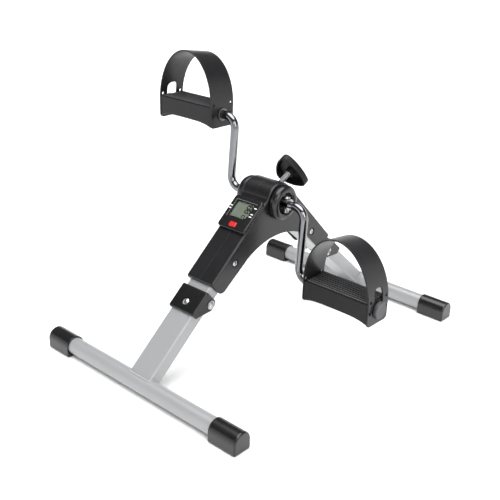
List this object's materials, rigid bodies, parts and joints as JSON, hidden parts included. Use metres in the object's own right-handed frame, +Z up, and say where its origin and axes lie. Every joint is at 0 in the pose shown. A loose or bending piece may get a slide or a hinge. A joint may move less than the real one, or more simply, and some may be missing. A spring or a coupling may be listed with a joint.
{
  "type": "pedal exerciser",
  "caption": "Folding floor pedal exerciser: hinged T-shaped legs, plastic housing with a small display, cranks with strapped pedals and a knob that sets the resistance.",
  "frame": {"origin": "on the floor, midway between the two floor bars and under the middle of the axle's width", "axes": "+Z up, +Y away from the user, from the display's leg towards the knob's leg, +X the user's right hand, along the axle"},
  "size_m": [0.422, 0.4974, 0.3995],
  "materials": {
    "silver_paint": "satin silver-grey powder coat",
    "black_plastic": "black moulded plastic, half gloss",
    "textured_plastic": "charcoal plastic with a fine spark texture",
    "strap_plastic": "black flexible plastic, smooth satin",
    "chrome": "polished chrome plate",
    "zinc": "bright zinc-plated fasteners",
    "steel": "plain machined steel",
    "display": "grey-green liquid crystal panel",
    "window": "clear flat window",
    "red_plastic": "red push button",
    "green_board": "green circuit board",
    "white_plastic": "white low-friction plastic",
    "felt": "brown brake felt"
  },
  "bodies": {
    "frame": {"main_frame": "silver_paint", "housing_left": "textured_plastic", "housing_right": "textured_plastic", "housing_screw_front_left": "zinc", "housing_screw_front_right": "zinc", "housing_screw_rear_left": "zinc", "housing_screw_rear_right": "zinc", "console_case": "black_plastic", "console_base": "black_plastic", "console_board": "green_board", "console_battery": "steel", "console_display": "display", "console_window": "window", "axle_bush_left": "white_plastic", "axle_bush_right": "white_plastic", "speed_sensor": "black_plastic"},
    "front_leg": {"front_leg": "silver_paint", "front_hinge_cover": "black_plastic", "front_cover_screw": "zinc", "front_hinge_bolt": "zinc", "front_hinge_nut": "zinc", "front_left_foot": "black_plastic", "front_right_foot": "black_plastic"},
    "rear_leg": {"rear_leg": "silver_paint", "rear_hinge_cover": "black_plastic", "rear_cover_screw": "zinc", "rear_hinge_bolt": "zinc", "rear_hinge_nut": "zinc", "rear_left_foot": "black_plastic", "rear_right_foot": "black_plastic"},
    "crankset": {"axle": "steel", "brake_drum": "steel", "crank_left": "chrome", "crank_right": "chrome", "crank_hub_left": "black_plastic", "crank_hub_right": "black_plastic", "crank_bolt_left": "zinc", "crank_bolt_right": "zinc", "crank_nut_left": "zinc", "crank_nut_right": "zinc", "speed_magnet": "steel", "spindle_washer_left": "zinc", "spindle_washer_right": "zinc"},
    "pedal_left": {"pedal_body_left": "textured_plastic", "pedal_strap_left": "strap_plastic", "pedal_cap_left": "textured_plastic"},
    "pedal_right": {"pedal_body_right": "textured_plastic", "pedal_strap_right": "strap_plastic", "pedal_cap_right": "textured_plastic"},
    "brake": {"brake_pad": "felt", "brake_shoe": "steel"},
    "knob": {"tension_knob": "black_plastic", "tension_screw": "zinc"},
    "button": {"console_button": "red_plastic"}
  },
  "joints": [
    {"name": "front_leg_fold", "type": "hinge", "parent": "frame", "child": "front_leg", "pos_m": [0, -0.12858, 0.09965], "axis": [1, 0, 0], "range_deg": [0, 98]},
    {"name": "rear_leg_fold", "type": "hinge", "parent": "frame", "child": "rear_leg", "pos_m": [0, 0.12858, 0.09965], "axis": [-1, 0, 0], "range_deg": [0, 98]},
    {"name": "crank_spin", "type": "hinge", "parent": "frame", "child": "crankset", "pos_m": [0, 0.006, 0.21305], "axis": [1, 0, 0], "continuous": true},
    {"name": "pedal_left_spin", "type": "hinge", "parent": "crankset", "child": "pedal_left", "pos_m": [-0.151, 0.01385, 0.31274], "axis": [1, 0, 0], "continuous": true},
    {"name": "pedal_right_spin", "type": "hinge", "parent": "crankset", "child": "pedal_right", "pos_m": [0.151, -0.00185, 0.11336], "axis": [1, 0, 0], "continuous": true},
    {"name": "brake_shoe_slide", "type": "slide", "parent": "frame", "child": "brake", "axis": [0, -0.8829, -0.4695], "range_m": [0, 0.0013], "stiffness_N_per_m": 11},
    {"name": "knob_turn", "type": "hinge", "parent": "brake", "child": "knob", "pos_m": [0, 0.05633, 0.23981], "axis": [0, -0.8829, -0.4695], "range_deg": [0, 360]},
    {"name": "console_button_press", "type": "slide", "parent": "frame", "child": "button", "axis": [0, 0.6561, -0.7547], "range_m": [0, 0.001], "stiffness_N_per_m": 250}
  ],
  "couplings": [
    {"joint": "brake_shoe_slide", "follows": "knob_turn", "m_per_rad": 0.00019894}
  ]
}
